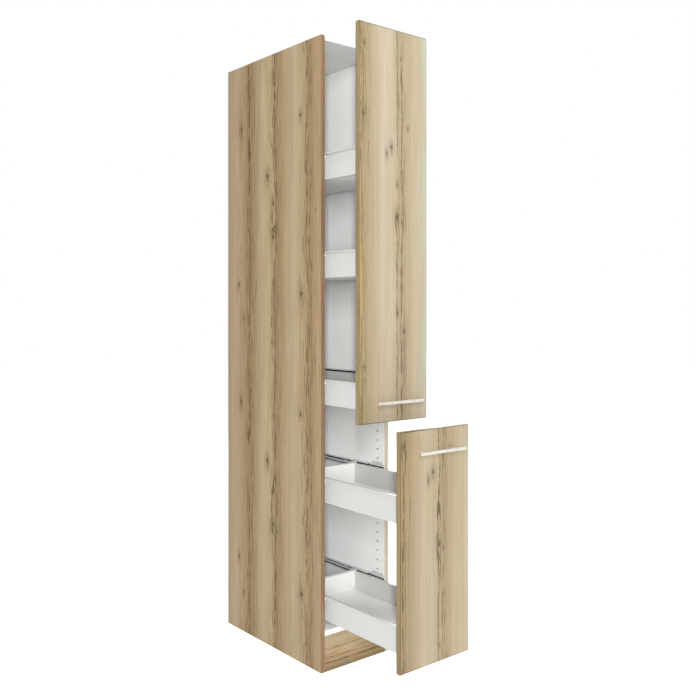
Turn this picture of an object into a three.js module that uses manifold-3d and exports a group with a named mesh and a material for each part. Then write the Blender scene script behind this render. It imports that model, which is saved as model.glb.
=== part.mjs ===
// Tall pantry cabinet: a board carcass with two pull-outs, one above the other. Each pull-out is a front
// with a bar handle and a stack of trays, and each tray runs on a pair of roller runners.
// Millimetres. X goes across the front, Y into the cabinet and Z up. The origin is the middle of the
// plinth's underside, and the pull-outs stand open by upperOpen and lowerOpen.

import * as THREE from "three";
import { mergeVertices } from "three/addons/utils/BufferGeometryUtils.js";
import Module from "manifold-3d";

const wasm = await Module();
wasm.setup();

// Driving dimensions: carcass
const cabinetWidth = 300;
const cabinetDepth = 550;
const cabinetHeight = 2068;
const boardThickness = 16;
const plinthHeight = 118;
const backThickness = 4;
const backInset = 15; // from the sides' rear edges to the back panel
const grooveDepth = 8;
const grooveClearance = 0.3; // round the back panel in its grooves
const jointGap = 0.25; // between pieces that are fastened face to face

// Driving dimensions: rows of holes in the sides
const holeRadius = 2.5;
const holeDepth = 11;
const holeSetback = 37; // from the sides' front edges
const holePitch = 32;
const firstHoleHeight = 14.25; // above the bottom board
const lastHoleDrop = 14; // least distance below the top board

// Driving dimensions: fronts and handles
const frontThickness = 16;
const frontReveal = 1.5; // at each side
const topReveal = 2.5;
const frontSpacing = 2; // between the two fronts
const lowerFrontHeight = 703.5;
const closedGap = 1; // between a closed front and the carcass
const upperOpen = 163;
const lowerOpen = 340;
const handleLength = 197;
const handleRadius = 5;
const handleReach = 34; // from the front's face to the bar's axis
const handleEdge = 64; // from the front's edge to the bar's axis
const postSpacing = 128;
const postRadius = 4;

// Driving dimensions: trays
const trayHeight = 85;
const steel = 1.2; // sheet of the tray sides and the runners
const trayBoard = 16; // floors and backs of the trays
const ledgeWidth = 15;
const tabWidth = 16; // turned-in front end of a tray side, screwed to the front
const tabDrop = 8; // from the rim down to the tab
const tabFloorGap = 7.5; // from the floor up to the tab
const trayBackInset = 3.5;
const trayBackRoom = 50; // from a closed tray to the cabinet's rear edge
const lipHeight = 4.5; // turned-down edge of the rim
const firstTrayRise = 110.25; // lowest runner's axis above the bottom board
const lowerTrayDrop = 193; // second runner's axis below the lower front's top edge
const upperTrayRise = 125; // third runner's axis above the upper front's lower edge
const topTrayDrop = 383.5; // fifth runner's axis below the cabinet's top
const middleTrayShare = 0.565; // fourth runner's place between the third and the fifth

// Driving dimensions: runners and rollers
const runnerHeight = 22;
const runnerSetback = 3; // from the sides' front edges
const runnerOverrun = 5; // longer than the tray
const runnerWidth = 10.8;
const runnerLip = 2; // turned edge of a runner's flange, beyond the sheet
const rimRise = 2; // a tray's rim above its runner's axis
const trayRunnerGap = 1; // between a runner's lips and a tray's side
const rimClearance = 0.7; // between a tray's rim and a runner's web
const mouthLength = 72; // open stretch at a runner's front, where the tray's roller drops in
const mouthRise = 10; // the web's rise above the runner at its mouth
const mouthSlope = 20; // length of the rise's slope down to the runner
const noseLength = 24; // deeper web at the front that carries the fixed roller
const noseDrop = 4;
const rollerPlay = 0.3; // between a roller and what it rolls on
const rollerSideGap = 0.4; // beside a roller
const boreRadius = 2.3;
const pinRadius = 2;
const pinHeadRadius = 3.2;
const pinHeadThickness = 0.6;
const frontRollerInset = 12; // from a runner's front end to its roller's axis
const rearRollerInset = 12; // from a tray's rear end to its roller's axis
const earRise = 5; // the tray side's rise above its rim at the rear roller
const earSlope = 4;
const earChamfer = 2;

// Worked out from the above
const sideX = cabinetWidth / 2; // outer face of a side
const innerX = sideX - boardThickness;
const carcassFront = -boardThickness / 2; // the plinth's middle is at Y 0
const carcassBack = carcassFront + cabinetDepth;
const bottomBoardTop = plinthHeight + jointGap + boardThickness;
const topBoardUnderside = cabinetHeight - boardThickness;
const backFace = carcassBack - backInset - backThickness;
const lowerFrontTop = plinthHeight + lowerFrontHeight;
const upperFrontBottom = lowerFrontTop + frontSpacing;
const upperFrontTop = cabinetHeight - topReveal;
const trayLength = cabinetDepth - trayBackRoom;
const runnerLength = trayLength + runnerOverrun;
const plateX = innerX - runnerWidth - trayRunnerGap; // outer face of a tray side's plate
const trayInnerX = plateX - steel;
const rollerRadius = runnerHeight / 2 - steel - rollerPlay;
const lipInnerX = innerX - steel - rimClearance - steel; // inner face of a tray rim's lip
const rollerOuterX = lipInnerX - rollerSideGap;
const rollerInnerX = innerX - runnerWidth + steel + rollerSideGap;

// The runners' axes lie on rows of holes.
const holeStart = bottomBoardTop + firstHoleHeight;
const holeCount = Math.floor((topBoardUnderside - lastHoleDrop - holeStart) / holePitch) + 1;
const rowNearest = (height) => Math.round((height - holeStart) / holePitch);
const rowHeight = (row) => holeStart + row * holePitch;
const thirdRow = rowNearest(upperFrontBottom + upperTrayRise);
const fifthRow = Math.floor((cabinetHeight - topTrayDrop - holeStart) / holePitch);
const fourthRow = thirdRow + Math.round((fifthRow - thirdRow) * middleTrayShare);
const lowerRows = [rowNearest(bottomBoardTop + firstTrayRise), rowNearest(lowerFrontTop - lowerTrayDrop)];
const upperRows = [thirdRow, fourthRow, fifthRow];

// Finishes
const woodDecor = { color: 0xc4b08c, roughness: 0.6, metalness: 0 };
const whiteBoard = { color: 0xe8e8e6, roughness: 0.55, metalness: 0 };
const whiteSteel = { color: 0xececea, roughness: 0.4, metalness: 0 };
const zincSteel = { color: 0xa9abab, roughness: 0.35, metalness: 0.9 };
const satinSteel = { color: 0xd2d0ca, roughness: 0.28, metalness: 1 };
const nylon = { color: 0xf0f0ec, roughness: 0.5, metalness: 0 };

const roundSides = 16;
const pinSides = 8;
const holeSides = 6;
const cutOverrun = 1; // a drill's length outside the board

const cabinet = new THREE.Group();

function addMesh(parent, name, geometry, finish) {
  const mesh = new THREE.Mesh(geometry, new THREE.MeshStandardMaterial(finish));
  mesh.name = name;
  parent.add(mesh);
  return mesh;
}

// A box between two values on each axis.
function boxBetween(xs, ys, zs) {
  const geometry = new THREE.BoxGeometry(xs[1] - xs[0], ys[1] - ys[0], zs[1] - zs[0]);
  return geometry.translate((xs[0] + xs[1]) / 2, (ys[0] + ys[1]) / 2, (zs[0] + zs[1]) / 2);
}

// A rod along X between two values.
function rodAcross(radius, xs, y, z, sides = roundSides) {
  const geometry = new THREE.CylinderGeometry(radius, radius, xs[1] - xs[0], sides);
  return geometry.rotateZ(Math.PI / 2).translate((xs[0] + xs[1]) / 2, y, z);
}

// A plate across X whose outline is given as points [y, z].
function plateAcross(outline, xs) {
  const shape = new THREE.Shape(outline.map(([y, z]) => new THREE.Vector2(y, z)));
  const geometry = new THREE.ExtrudeGeometry(shape, { depth: xs[1] - xs[0], bevelEnabled: false });
  // Shape x becomes Y, shape y becomes Z and the depth becomes X.
  const turn = new THREE.Matrix4().set(0, 0, 1, xs[0], 1, 0, 0, 0, 0, 1, 0, 0, 0, 0, 0, 1);
  return geometry.applyMatrix4(turn);
}

function toSolid(geometry) {
  const bare = geometry.clone();
  bare.deleteAttribute("normal");
  bare.deleteAttribute("uv");
  const merged = mergeVertices(bare, 1e-4);
  return new wasm.Manifold(
    new wasm.Mesh({
      numProp: 3,
      vertProperties: merged.attributes.position.array,
      triVerts: new Uint32Array(merged.index.array),
    }),
  );
}

function toGeometry(solid) {
  const mesh = solid.getMesh();
  const geometry = new THREE.BufferGeometry();
  geometry.setAttribute("position", new THREE.BufferAttribute(mesh.vertProperties, 3));
  geometry.setIndex(new THREE.BufferAttribute(mesh.triVerts, 1));
  geometry.computeVertexNormals();
  return geometry;
}

function joined(geometries) {
  const solids = geometries.map(toSolid);
  return toGeometry(solids.reduce((whole, next) => whole.add(next)));
}

function cutFrom(geometry, cutters) {
  const holes = cutters.map(toSolid).reduce((whole, next) => whole.add(next));
  return toGeometry(toSolid(geometry).subtract(holes));
}

// The same geometry on the other side of the cabinet's middle plane, with its faces still turned out.
function mirrored(geometry) {
  const other = geometry.index ? geometry.toNonIndexed() : geometry.clone();
  other.deleteAttribute("normal");
  other.deleteAttribute("uv");
  const position = other.attributes.position;
  for (let corner = 0; corner < position.count; corner += 3) {
    for (let i = 0; i < 3; i++) {
      position.setX(corner + i, -position.getX(corner + i));
    }
    const second = new THREE.Vector3().fromBufferAttribute(position, corner + 1);
    const third = new THREE.Vector3().fromBufferAttribute(position, corner + 2);
    position.setXYZ(corner + 1, third.x, third.y, third.z);
    position.setXYZ(corner + 2, second.x, second.y, second.z);
  }
  other.computeVertexNormals();
  return other;
}

// Adds a right-hand piece as built, and its mirrored twin on the left.
function addPair(parent, name, geometry, finish) {
  addMesh(parent, `${name}_right`, geometry, finish);
  addMesh(parent, `${name}_left`, mirrored(geometry), finish);
}

// Right-hand side: a board from floor to top with a groove for the back panel and a row of holes.
function sidePanel() {
  const grooveFront = backFace - grooveClearance;
  const grooveBack = backFace + backThickness + grooveClearance;
  const plan = [
    [innerX, carcassFront],
    [sideX, carcassFront],
    [sideX, carcassBack],
    [innerX, carcassBack],
    [innerX, grooveBack],
    [innerX + grooveDepth, grooveBack],
    [innerX + grooveDepth, grooveFront],
    [innerX, grooveFront],
  ];
  const shape = new THREE.Shape(plan.map(([x, y]) => new THREE.Vector2(x, y)));
  const board = new THREE.ExtrudeGeometry(shape, { depth: cabinetHeight, bevelEnabled: false });
  const drills = [];
  for (let row = 0; row < holeCount; row++) {
    const across = [innerX - cutOverrun, innerX + holeDepth];
    drills.push(rodAcross(holeRadius, across, carcassFront + holeSetback, rowHeight(row), holeSides));
  }
  return cutFrom(board, drills);
}

function addCarcass(parent) {
  const between = [-innerX + jointGap, innerX - jointGap];
  const boardDepth = [carcassFront, backFace - jointGap];
  addPair(parent, "side_panel", sidePanel(), woodDecor);
  const top = boxBetween(between, boardDepth, [topBoardUnderside, cabinetHeight]);
  addMesh(parent, "top_board", top, whiteBoard);
  const bottom = boxBetween(between, boardDepth, [plinthHeight + jointGap, bottomBoardTop]);
  addMesh(parent, "bottom_board", bottom, whiteBoard);
  const plinth = boxBetween(between, [carcassFront, carcassFront + boardThickness], [0, plinthHeight]);
  addMesh(parent, "plinth_board", plinth, woodDecor);
  const backX = innerX + grooveDepth - grooveClearance;
  const backPanel = boxBetween(
    [-backX, backX],
    [backFace, backFace + backThickness],
    [plinthHeight + jointGap, cabinetHeight],
  );
  addMesh(parent, "back_panel", backPanel, whiteBoard);
}

// Right-hand runner: a channel on the side panel, open to the tray, with a pin for its fixed roller.
function runner(axisZ) {
  const front = carcassFront + runnerSetback;
  const back = front + runnerLength;
  const low = axisZ - runnerHeight / 2;
  const high = axisZ + runnerHeight / 2;
  const wall = innerX - jointGap;
  const lipX = innerX - runnerWidth;
  const mouthEnd = front + mouthLength;
  const noseEnd = front + noseLength;
  const webOutline = [
    [front, low - noseDrop],
    [noseEnd, low - noseDrop],
    [noseEnd + noseDrop, low],
    [back, low],
    [back, high],
    [mouthEnd, high],
    [mouthEnd - mouthSlope, high + mouthRise],
    [front + mouthRise, high + mouthRise],
    [front, high],
  ];
  const topRun = [mouthEnd, back];
  const bottomRun = [noseEnd + noseDrop, back];
  const pinZ = frontRollerZ(axisZ);
  const pinY = front + frontRollerInset;
  const pinEnd = rollerInnerX - pinHeadThickness - rollerSideGap / 2;
  return joined([
    plateAcross(webOutline, [wall - steel, wall]),
    boxBetween([lipX, wall], topRun, [high - steel, high]),
    boxBetween([lipX, wall], bottomRun, [low, low + steel]),
    boxBetween([lipX, lipX + steel], topRun, [high - steel - runnerLip, high]),
    boxBetween([lipX, lipX + steel], bottomRun, [low, low + steel + runnerLip]),
    rodAcross(pinRadius, [pinEnd, wall - steel / 2], pinY, pinZ, pinSides),
    rodAcross(pinHeadRadius, [pinEnd, pinEnd + pinHeadThickness], pinY, pinZ, pinSides),
  ]);
}

// The fixed roller's top carries the underside of the tray's rim.
function frontRollerZ(axisZ) {
  return axisZ + rimRise - steel - rollerPlay - rollerRadius;
}

// Right-hand roller: a ring on its own axis, made about the origin.
function roller() {
  const half = (rollerOuterX - rollerInnerX) / 2;
  const section = [
    [boreRadius, -half],
    [rollerRadius, -half],
    [rollerRadius, half],
    [boreRadius, half],
    [boreRadius, -half],
  ];
  const profile = section.map(([radius, along]) => new THREE.Vector2(radius, along));
  return new THREE.LatheGeometry(profile, roundSides).rotateZ(Math.PI / 2);
}

function addRollerPair(parent, name, y, z) {
  const x = (rollerInnerX + rollerOuterX) / 2;
  for (const [side, sign] of [["right", 1], ["left", -1]]) {
    const mesh = addMesh(parent, `${name}_${side}`, roller(), nylon);
    mesh.position.set(sign * x, y, z);
  }
}

function addRunners(parent, prefix, rows) {
  rows.forEach((row, index) => {
    const axisZ = rowHeight(row);
    const name = `${prefix}_${index + 1}`;
    addPair(parent, `${name}_runner`, runner(axisZ), zincSteel);
    const y = carcassFront + runnerSetback + frontRollerInset;
    addRollerPair(parent, `${name}_front_roller`, y, frontRollerZ(axisZ));
  });
}

// Right-hand tray side: a steel plate with a rim over the runner, a ledge under the floor, a turned-in
// tab at the front and an ear with a pin at the rear. Y 0 is the back of the front board.
function traySide(axisZ) {
  const rim = axisZ + rimRise;
  const low = rim - trayHeight;
  const rimOuter = innerX - steel - rimClearance;
  const earStart = trayLength - 2 * rearRollerInset;
  const rimRun = [jointGap, earStart];
  const tabLow = low + steel + jointGap + trayBoard + tabFloorGap;
  const plate = [
    [jointGap, low],
    [trayLength, low],
    [trayLength, rim + earRise - earChamfer],
    [trayLength - earChamfer, rim + earRise],
    [earStart + earSlope, rim + earRise],
    [earStart, rim],
    [jointGap, rim],
  ];
  const pinY = trayLength - rearRollerInset;
  const pinEnd = rollerOuterX + rollerSideGap / 2 + pinHeadThickness;
  const ledgeInner = trayInnerX - ledgeWidth;
  const tabInner = trayInnerX - tabWidth;
  return joined([
    plateAcross(plate, [trayInnerX, plateX]),
    boxBetween([trayInnerX, rimOuter], rimRun, [rim - steel, rim]),
    boxBetween([rimOuter - steel, rimOuter], rimRun, [rim - lipHeight, rim]),
    boxBetween([ledgeInner, plateX], [jointGap, trayLength], [low, low + steel]),
    boxBetween([tabInner, plateX], [jointGap, jointGap + steel], [tabLow, rim - tabDrop]),
    rodAcross(pinRadius, [trayInnerX + steel / 2, pinEnd], pinY, axisZ, pinSides),
    rodAcross(pinHeadRadius, [pinEnd - pinHeadThickness, pinEnd], pinY, axisZ, pinSides),
  ]);
}

function addTrays(parent, prefix, rows) {
  const inside = [-trayInnerX + jointGap, trayInnerX - jointGap];
  const floorEnd = trayLength - trayBackInset;
  rows.forEach((row, index) => {
    const axisZ = rowHeight(row);
    const name = `${prefix}_${index + 1}`;
    const rim = axisZ + rimRise;
    const floorLow = rim - trayHeight + steel + jointGap;
    const floorHigh = floorLow + trayBoard;
    addPair(parent, `${name}_tray_side`, traySide(axisZ), whiteSteel);
    const floor = boxBetween(inside, [jointGap, floorEnd], [floorLow, floorHigh]);
    addMesh(parent, `${name}_tray_floor`, floor, whiteBoard);
    const back = boxBetween(inside, [floorEnd - trayBoard, floorEnd], [floorHigh + jointGap, rim]);
    addMesh(parent, `${name}_tray_back`, back, whiteBoard);
    addRollerPair(parent, `${name}_rear_roller`, trayLength - rearRollerInset, axisZ);
  });
}

// Bar handle with its two posts, in one piece. Y 0 is the back of the front board.
function handle(axisZ) {
  const face = -frontThickness - jointGap;
  const barY = -frontThickness - handleReach;
  const posts = [-1, 1].map((sign) => {
    const post = new THREE.CylinderGeometry(postRadius, postRadius, face - barY, roundSides);
    return post.translate((sign * postSpacing) / 2, (face + barY) / 2, axisZ);
  });
  return joined([rodAcross(handleRadius, [-handleLength / 2, handleLength / 2], barY, axisZ), ...posts]);
}

// A pull-out: front, handle and trays, in a group whose Y 0 is the back of the front board.
function addPullout(parent, prefix, rows, frontSpan, handleZ, open) {
  const group = new THREE.Group();
  group.position.y = carcassFront - closedGap - open;
  const frontX = sideX - frontReveal;
  const front = boxBetween([-frontX, frontX], [-frontThickness, 0], frontSpan);
  addMesh(group, `${prefix}_front`, front, woodDecor);
  addMesh(group, `${prefix}_handle`, handle(handleZ), satinSteel);
  addTrays(group, prefix, rows);
  parent.add(group);
}

addCarcass(cabinet);
addRunners(cabinet, "lower", lowerRows);
addRunners(cabinet, "upper", upperRows);
const lowerSpan = [plinthHeight, lowerFrontTop];
addPullout(cabinet, "lower", lowerRows, lowerSpan, lowerFrontTop - handleEdge, lowerOpen);
const upperSpan = [upperFrontBottom, upperFrontTop];
addPullout(cabinet, "upper", upperRows, upperSpan, upperFrontBottom + handleEdge, upperOpen);

export default cabinet;
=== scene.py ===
import math

import bmesh
import bpy
from mathutils import Matrix, Vector


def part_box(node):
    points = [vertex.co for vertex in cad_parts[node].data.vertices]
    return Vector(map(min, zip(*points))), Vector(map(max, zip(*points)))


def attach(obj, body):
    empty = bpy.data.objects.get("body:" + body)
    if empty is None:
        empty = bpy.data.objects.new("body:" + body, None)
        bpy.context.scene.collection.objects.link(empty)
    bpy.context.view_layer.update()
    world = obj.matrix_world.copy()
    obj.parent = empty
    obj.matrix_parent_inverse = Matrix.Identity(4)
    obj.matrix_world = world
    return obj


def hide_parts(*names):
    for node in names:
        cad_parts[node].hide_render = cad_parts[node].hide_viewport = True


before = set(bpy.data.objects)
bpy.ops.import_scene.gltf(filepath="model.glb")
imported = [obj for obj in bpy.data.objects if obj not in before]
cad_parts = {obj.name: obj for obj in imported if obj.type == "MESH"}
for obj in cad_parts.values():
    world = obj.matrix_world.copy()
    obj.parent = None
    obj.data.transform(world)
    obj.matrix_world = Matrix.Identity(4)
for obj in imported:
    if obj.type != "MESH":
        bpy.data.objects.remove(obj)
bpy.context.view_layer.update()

# Tall pantry cabinet with an upper and a lower pull-out. Metres, X to the right, Y into the cabinet, Z up.
# Names ending in Mm hold millimetres; hair is a gap too small to see.

mm = 0.001
hair = 0.05 * mm
print("frame loaded")

camera = {"stand": (-1.8502, -2.0720, 1.1822), "turn": -37.73, "lens": 42.769, "shift": (0.0749, -0.0572)}

sight = bpy.data.cameras.new("camera")
sight.lens = camera["lens"]
sight.sensor_width = 36
sight.shift_x, sight.shift_y = camera["shift"]
cameraObject = bpy.data.objects.new("camera", sight)
cameraObject.location = camera["stand"]
cameraObject.rotation_euler = (math.radians(90), 0, math.radians(camera["turn"]))
bpy.context.scene.collection.objects.link(cameraObject)
bpy.context.scene.camera = cameraObject


def linear(tone):
    # "c8b89e" to linear red, green, blue, alpha
    parts = [int(tone[i:i + 2], 16) / 255 for i in (0, 2, 4)]
    return (*[p / 12.92 if p < 0.04045 else ((p + 0.055) / 1.055) ** 2.4 for p in parts], 1)


class Level:
    # a value, place or colour that changes over a surface; sums and products of levels make their own nodes
    def __init__(self, socket):
        self.socket = socket

    def __add__(self, other):
        return calc("ADD", self, other)

    def __sub__(self, other):
        return calc("SUBTRACT", self, other)

    def __rsub__(self, other):
        return calc("SUBTRACT", other, self)

    def __mul__(self, other):
        return calc("MULTIPLY", self, other)

    def __truediv__(self, other):
        return calc("DIVIDE", self, other)

    def __abs__(self):
        return calc("ABSOLUTE", self)


def feed(socket, value):
    if isinstance(value, Level):
        socket.id_data.links.new(value.socket, socket)
    elif value is not None:
        socket.default_value = value


def newNode(kind, values, **settings):
    # values feed the inputs, in order or by label; the node goes into the tree of the first level among them
    pairs = list(values.items() if isinstance(values, dict) else enumerate(values))
    tree = next(value.socket.id_data for key, value in pairs if isinstance(value, Level))
    node = tree.nodes.new("ShaderNode" + kind)
    for name, setting in settings.items():
        setattr(node, name, setting)
    for key, value in pairs:
        feed(node.inputs[key], value)
    return node


def calc(operation, *values):
    return Level(newNode("Math", values, operation=operation).outputs[0])


def between(value, low, high, toLow=0, toHigh=1, smooth=True):
    # low to high becomes toLow to toHigh
    ends = {"Value": value, "From Min": low, "From Max": high, "To Min": toLow, "To Max": toHigh}
    node = newNode("MapRange", ends, interpolation_type="SMOOTHSTEP" if smooth else "LINEAR")
    return Level(node.outputs[0])


def vector(x, y, z=0):
    return Level(newNode("CombineXYZ", (x, y, z)).outputs[0])


def vectorCalc(operation, *values):
    node = newNode("VectorMath", values, operation=operation)
    return Level(node.outputs["Value" if operation in ("LENGTH", "DOT_PRODUCT") else "Vector"])


def noise(where, scale=1, detail=2, rough=0.5, dimensions="3D"):
    place = "W" if dimensions == "1D" else "Vector"
    values = {place: where, "Scale": scale, "Detail": detail, "Roughness": rough}
    return Level(newNode("TexNoise", values, noise_dimensions=dimensions).outputs["Fac"])


def mixed(share, first, second, blend="MIX"):
    node = newNode("Mix", {0: share, 6: first, 7: second}, data_type="RGBA", blend_type=blend,
                   clamp_factor=True)
    return Level(node.outputs[2])


def ramp(value, stops):
    node = newNode("ValToRGB", [value])
    elements = node.color_ramp.elements
    while len(elements) < len(stops):
        elements.new(0.5)
    for element, (place, tone) in zip(elements, stops):
        element.position = place
        element.color = linear(tone)
    return Level(node.outputs[0])


def spelled(key):
    # knotAcross becomes Knot Across
    return "".join(" " + c if c.isupper() else c for c in key).title()


def startGroup(name, **inputs):
    # returns the inputs as levels; each starts as a number or a colour, and None stands for a place
    group = bpy.data.node_groups.new(name, "ShaderNodeTree")
    for key, start in inputs.items():
        kind = "Vector" if start is None else "Color" if isinstance(start, tuple) else "Float"
        socket = group.interface.new_socket(name=spelled(key), in_out="INPUT",
                                            socket_type="NodeSocket" + kind)
        if start is not None:
            socket.default_value = start
    return [Level(socket) for socket in group.nodes.new("NodeGroupInput").outputs][:len(inputs)]


def finishGroup(**results):
    group = next(iter(results.values())).socket.id_data
    for key, result in results.items():
        kind = "Color" if result.socket.type == "RGBA" else "Float"
        group.interface.new_socket(name=spelled(key), in_out="OUTPUT", socket_type="NodeSocket" + kind)
    ends = group.nodes.new("NodeGroupOutput").inputs
    for key, result in results.items():
        feed(ends[spelled(key)], result)
    return group


def use(group, **values):
    # returns the group's result, or a list of them when it has several
    node = newNode("Group", {spelled(key): value for key, value in values.items()}, node_tree=group)
    results = [Level(socket) for socket in node.outputs]
    return results if len(results) > 1 else results[0]


def startMaterial(name, roughness, metallic=0.0, specular=0.5):
    # returns the material, its Principled node, the place in millimetres, and its X, Y and Z
    material = bpy.data.materials.new(name)
    material.use_nodes = True
    tree = material.node_tree
    shader = tree.nodes["Principled BSDF"]
    shader.inputs["Roughness"].default_value = roughness
    shader.inputs["Metallic"].default_value = metallic
    shader.inputs["Specular IOR Level"].default_value = specular
    coordinates = Level(tree.nodes.new("ShaderNodeTexCoord").outputs["Object"])
    where = Level(newNode("VectorMath", {0: coordinates, "Scale": 1 / mm}, operation="SCALE").outputs[0])
    parts = newNode("SeparateXYZ", [where]).outputs
    return material, shader, where, dict(zip("XYZ", map(Level, parts)))


def dress(shader, colour, roughness, height, distance, strength):
    feed(shader.inputs["Base Color"], colour)
    feed(shader.inputs["Roughness"], roughness)
    bump = newNode("Bump", {"Distance": distance, "Strength": strength, "Height": height})
    feed(shader.inputs["Normal"], Level(bump.outputs[0]))


def makeWander():
    # bends the strips slowly to and fro along their length
    across, along, depth, amount = startGroup("slow wander", across=0, along=0, depth=0, amount=8)
    slow = noise(vector(across * 0.012, along * 0.0022, depth), detail=1)
    quick = noise(vector(across * 0.05, along * 0.011, depth))
    swing = (slow - 0.5) * (amount * 2.4)
    shiver = (quick - 0.5) * (amount * 0.7)
    return finishGroup(across=across + (swing + shiver))


def makeGrain():
    # streaks of fibre along the board, and short dark pores
    across, along, depth = startGroup("grain streaks", across=0, along=0, depth=0)
    sizes = ((4.5, 330, 0.42, 3), (13, 600, 0.4, 2), (1.3, 110, 0.18, 2))
    fibres = [noise(vector(across / width, along / length, depth), detail=detail, rough=0.55) * share
              for width, length, share, detail in sizes]
    streak = between(fibres[0] + fibres[1] + fibres[2], 0.36, 0.64, -1, 1, smooth=False)
    dashes = noise(vector(across / 0.5, along / 10, depth), detail=1)
    patches = noise(vector(across / 14, along / 300, depth), detail=1)
    return finishGroup(streak=streak, pores=between(dashes, 0.6, 0.72) * between(patches, 0.35, 0.65))


def makeYearLines():
    # dark year lines; where the flow folds them they close into long lenses and pointed arches
    across, along, depth, spacing, reach, swirl, width = startGroup(
        "year lines", across=0, along=0, depth=0, spacing=12, reach=300, swirl=2, width=2)
    step = across / spacing
    run = along / reach
    flow = noise(vector(step * 0.3, run, depth), rough=0.45)
    folded = step + (flow - 0.5) * swirl
    off = abs(calc("FRACT", folded) - 0.5)
    half = width / spacing
    line = 1 - between(off, half * 0.15, half)
    pieces = noise(vector(step * 0.8, run * 2.2, calc("ADD", depth, 5)))
    return finishGroup(lines=line * between(pieces, 0.4, 0.62))


def makeCrack():
    # a dark crack that wanders, thins out and breaks off; its twin leaves it and comes back, as a long lens
    across, along, middle, sway, width, length, share, seed = startGroup(
        "crack line", across=0, along=0, place=0, wander=5, width=1.5, length=300, share=0.5, seed=0)

    def run(stretch, seedShare):
        return noise(along / stretch + seed * seedShare, dimensions="1D")

    drift = (run(240, 3.1) - 0.5) * 2.6 + (run(34, 5.3) - 0.5) * 0.6
    centre = middle + drift * sway
    apart = between(run(150, 9.1), 0.42, 0.66) * (sway * 2)
    twin = abs(across - (centre + apart))
    breadth = width * between(run(48, 7.7), 0.3, 0.7, 0.4, 1.6)
    off = calc("MINIMUM", abs(across - centre), twin * 1.5) / breadth
    core = 1 - between(off, 0.25, 1)
    stain = (1 - between(off, 0.5, 4)) * 0.22
    start = 0.82 - share * 0.64
    shown = between(run(length, 11.9), start, start + 0.12)
    return finishGroup(mask=calc("MAXIMUM", core, stain) * shown)


def makeKnot():
    # a small star-shaped knot; the lines near it swing round it, and dark adds up from knot to knot
    across, along, dark, knotAcross, knotAlong, size = startGroup(
        "small knot", across=0, along=0, dark=0, knotAcross=0, knotAlong=0, size=10)
    centre = vector(knotAcross, knotAlong)
    off = vectorCalc("DIVIDE", vectorCalc("SUBTRACT", vector(across, along), centre), vector(size, size, 1))

    def far(wide, tall):
        return vectorCalc("LENGTH", vectorCalc("MULTIPLY", off, (1 / wide, 1 / tall, 0)))

    swing = calc("EXPONENT", calc("POWER", far(1, 3.4), 2) * -0.45)
    aside = vectorCalc("DOT_PRODUCT", off, (1, 0, 0))
    push = aside * size * (swing * -0.75)
    shifted = vectorCalc("ADD", vectorCalc("MULTIPLY", off, (2.6, 1.5, 0)), centre)
    uneven = (noise(shifted, detail=3, rough=0.65) - 0.5) * 1.5
    star = calc("MINIMUM", far(1, 1.5), far(0.27, 3))
    core = 1 - between(star + uneven, 0.15, 0.7)
    halo = 1 - between(far(1, 2.2) + uneven, 0.3, 1.7)
    whole = calc("MAXIMUM", core, halo * 0.36)
    return finishGroup(across=across + push, dark=calc("MAXIMUM", dark, whole))


def makeTone():
    # slight unevenness and specks of dust on a plain finish
    where, colour, dustColour, unevenness, dust = startGroup(
        "plain tone", where=None, colour=linear("ffffff"), dustColour=linear("b9b2a4"), unevenness=0.03,
        dust=0.2)
    factor = between(noise(where, scale=0.006), 0.3, 0.7, 1 - unevenness, 1, smooth=False)
    shaded = mixed(1.0, colour, vector(factor, factor, factor), "MULTIPLY")
    specks = between(noise(where, scale=0.9, detail=3, rough=0.7), 0.66, 0.8)
    veil = between(noise(where, scale=0.02, detail=4, rough=0.6), 0.45, 0.75)
    amount = (specks * 0.6 + veil * 0.25) * dust
    return finishGroup(colour=mixed(amount, shaded, dustColour), dust=amount)


def makeRub():
    # how far an eased edge is rubbed; edge is 1 on the eased faces
    where, edge, amount = startGroup("edge rub", where=None, edge=0, amount=0.5)
    broken = between(noise(where, scale=0.05, detail=5, rough=0.65), 0.4, 0.68)
    return finishGroup(mask=broken * edge * amount)


def makePebble():
    # height of a fine pebbled skin: paint, melamine or moulded plastic
    where, size = startGroup("pebbled skin", where=None, size=1)
    scaled = vectorCalc("DIVIDE", where, vector(size, size, size))
    return finishGroup(height=noise(scaled) * 0.6 + noise(scaled, scale=0.2, detail=1) * 0.4)


def makeBrushing():
    # lines left by rolling or brushing, along one direction
    across, around, along = startGroup("metal lines", across=0, around=0, along=0)
    fine = noise(vector(across * 5, around * 5, along * 0.06), detail=3, rough=0.6)
    cloud = noise(vector(across * 0.09, around * 0.09, along * 0.03), detail=3)
    return finishGroup(lines=fine, cloud=cloud)


wander, grain, yearLines, crack, knot = makeWander(), makeGrain(), makeYearLines(), makeCrack(), makeKnot()
plainTone, edgeRub, pebble, metalLines = makeTone(), makeRub(), makePebble(), makeBrushing()


def rubbed(colour, where, amount, tone):
    # the colour, with the eased edges rubbed towards another tone
    flag = where.socket.id_data.nodes.new("ShaderNodeAttribute")
    flag.attribute_name = "edge"
    mask = use(edgeRub, where=where, edge=Level(flag.outputs["Fac"]), amount=amount)
    return mixed(mask, colour, linear(tone))


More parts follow.
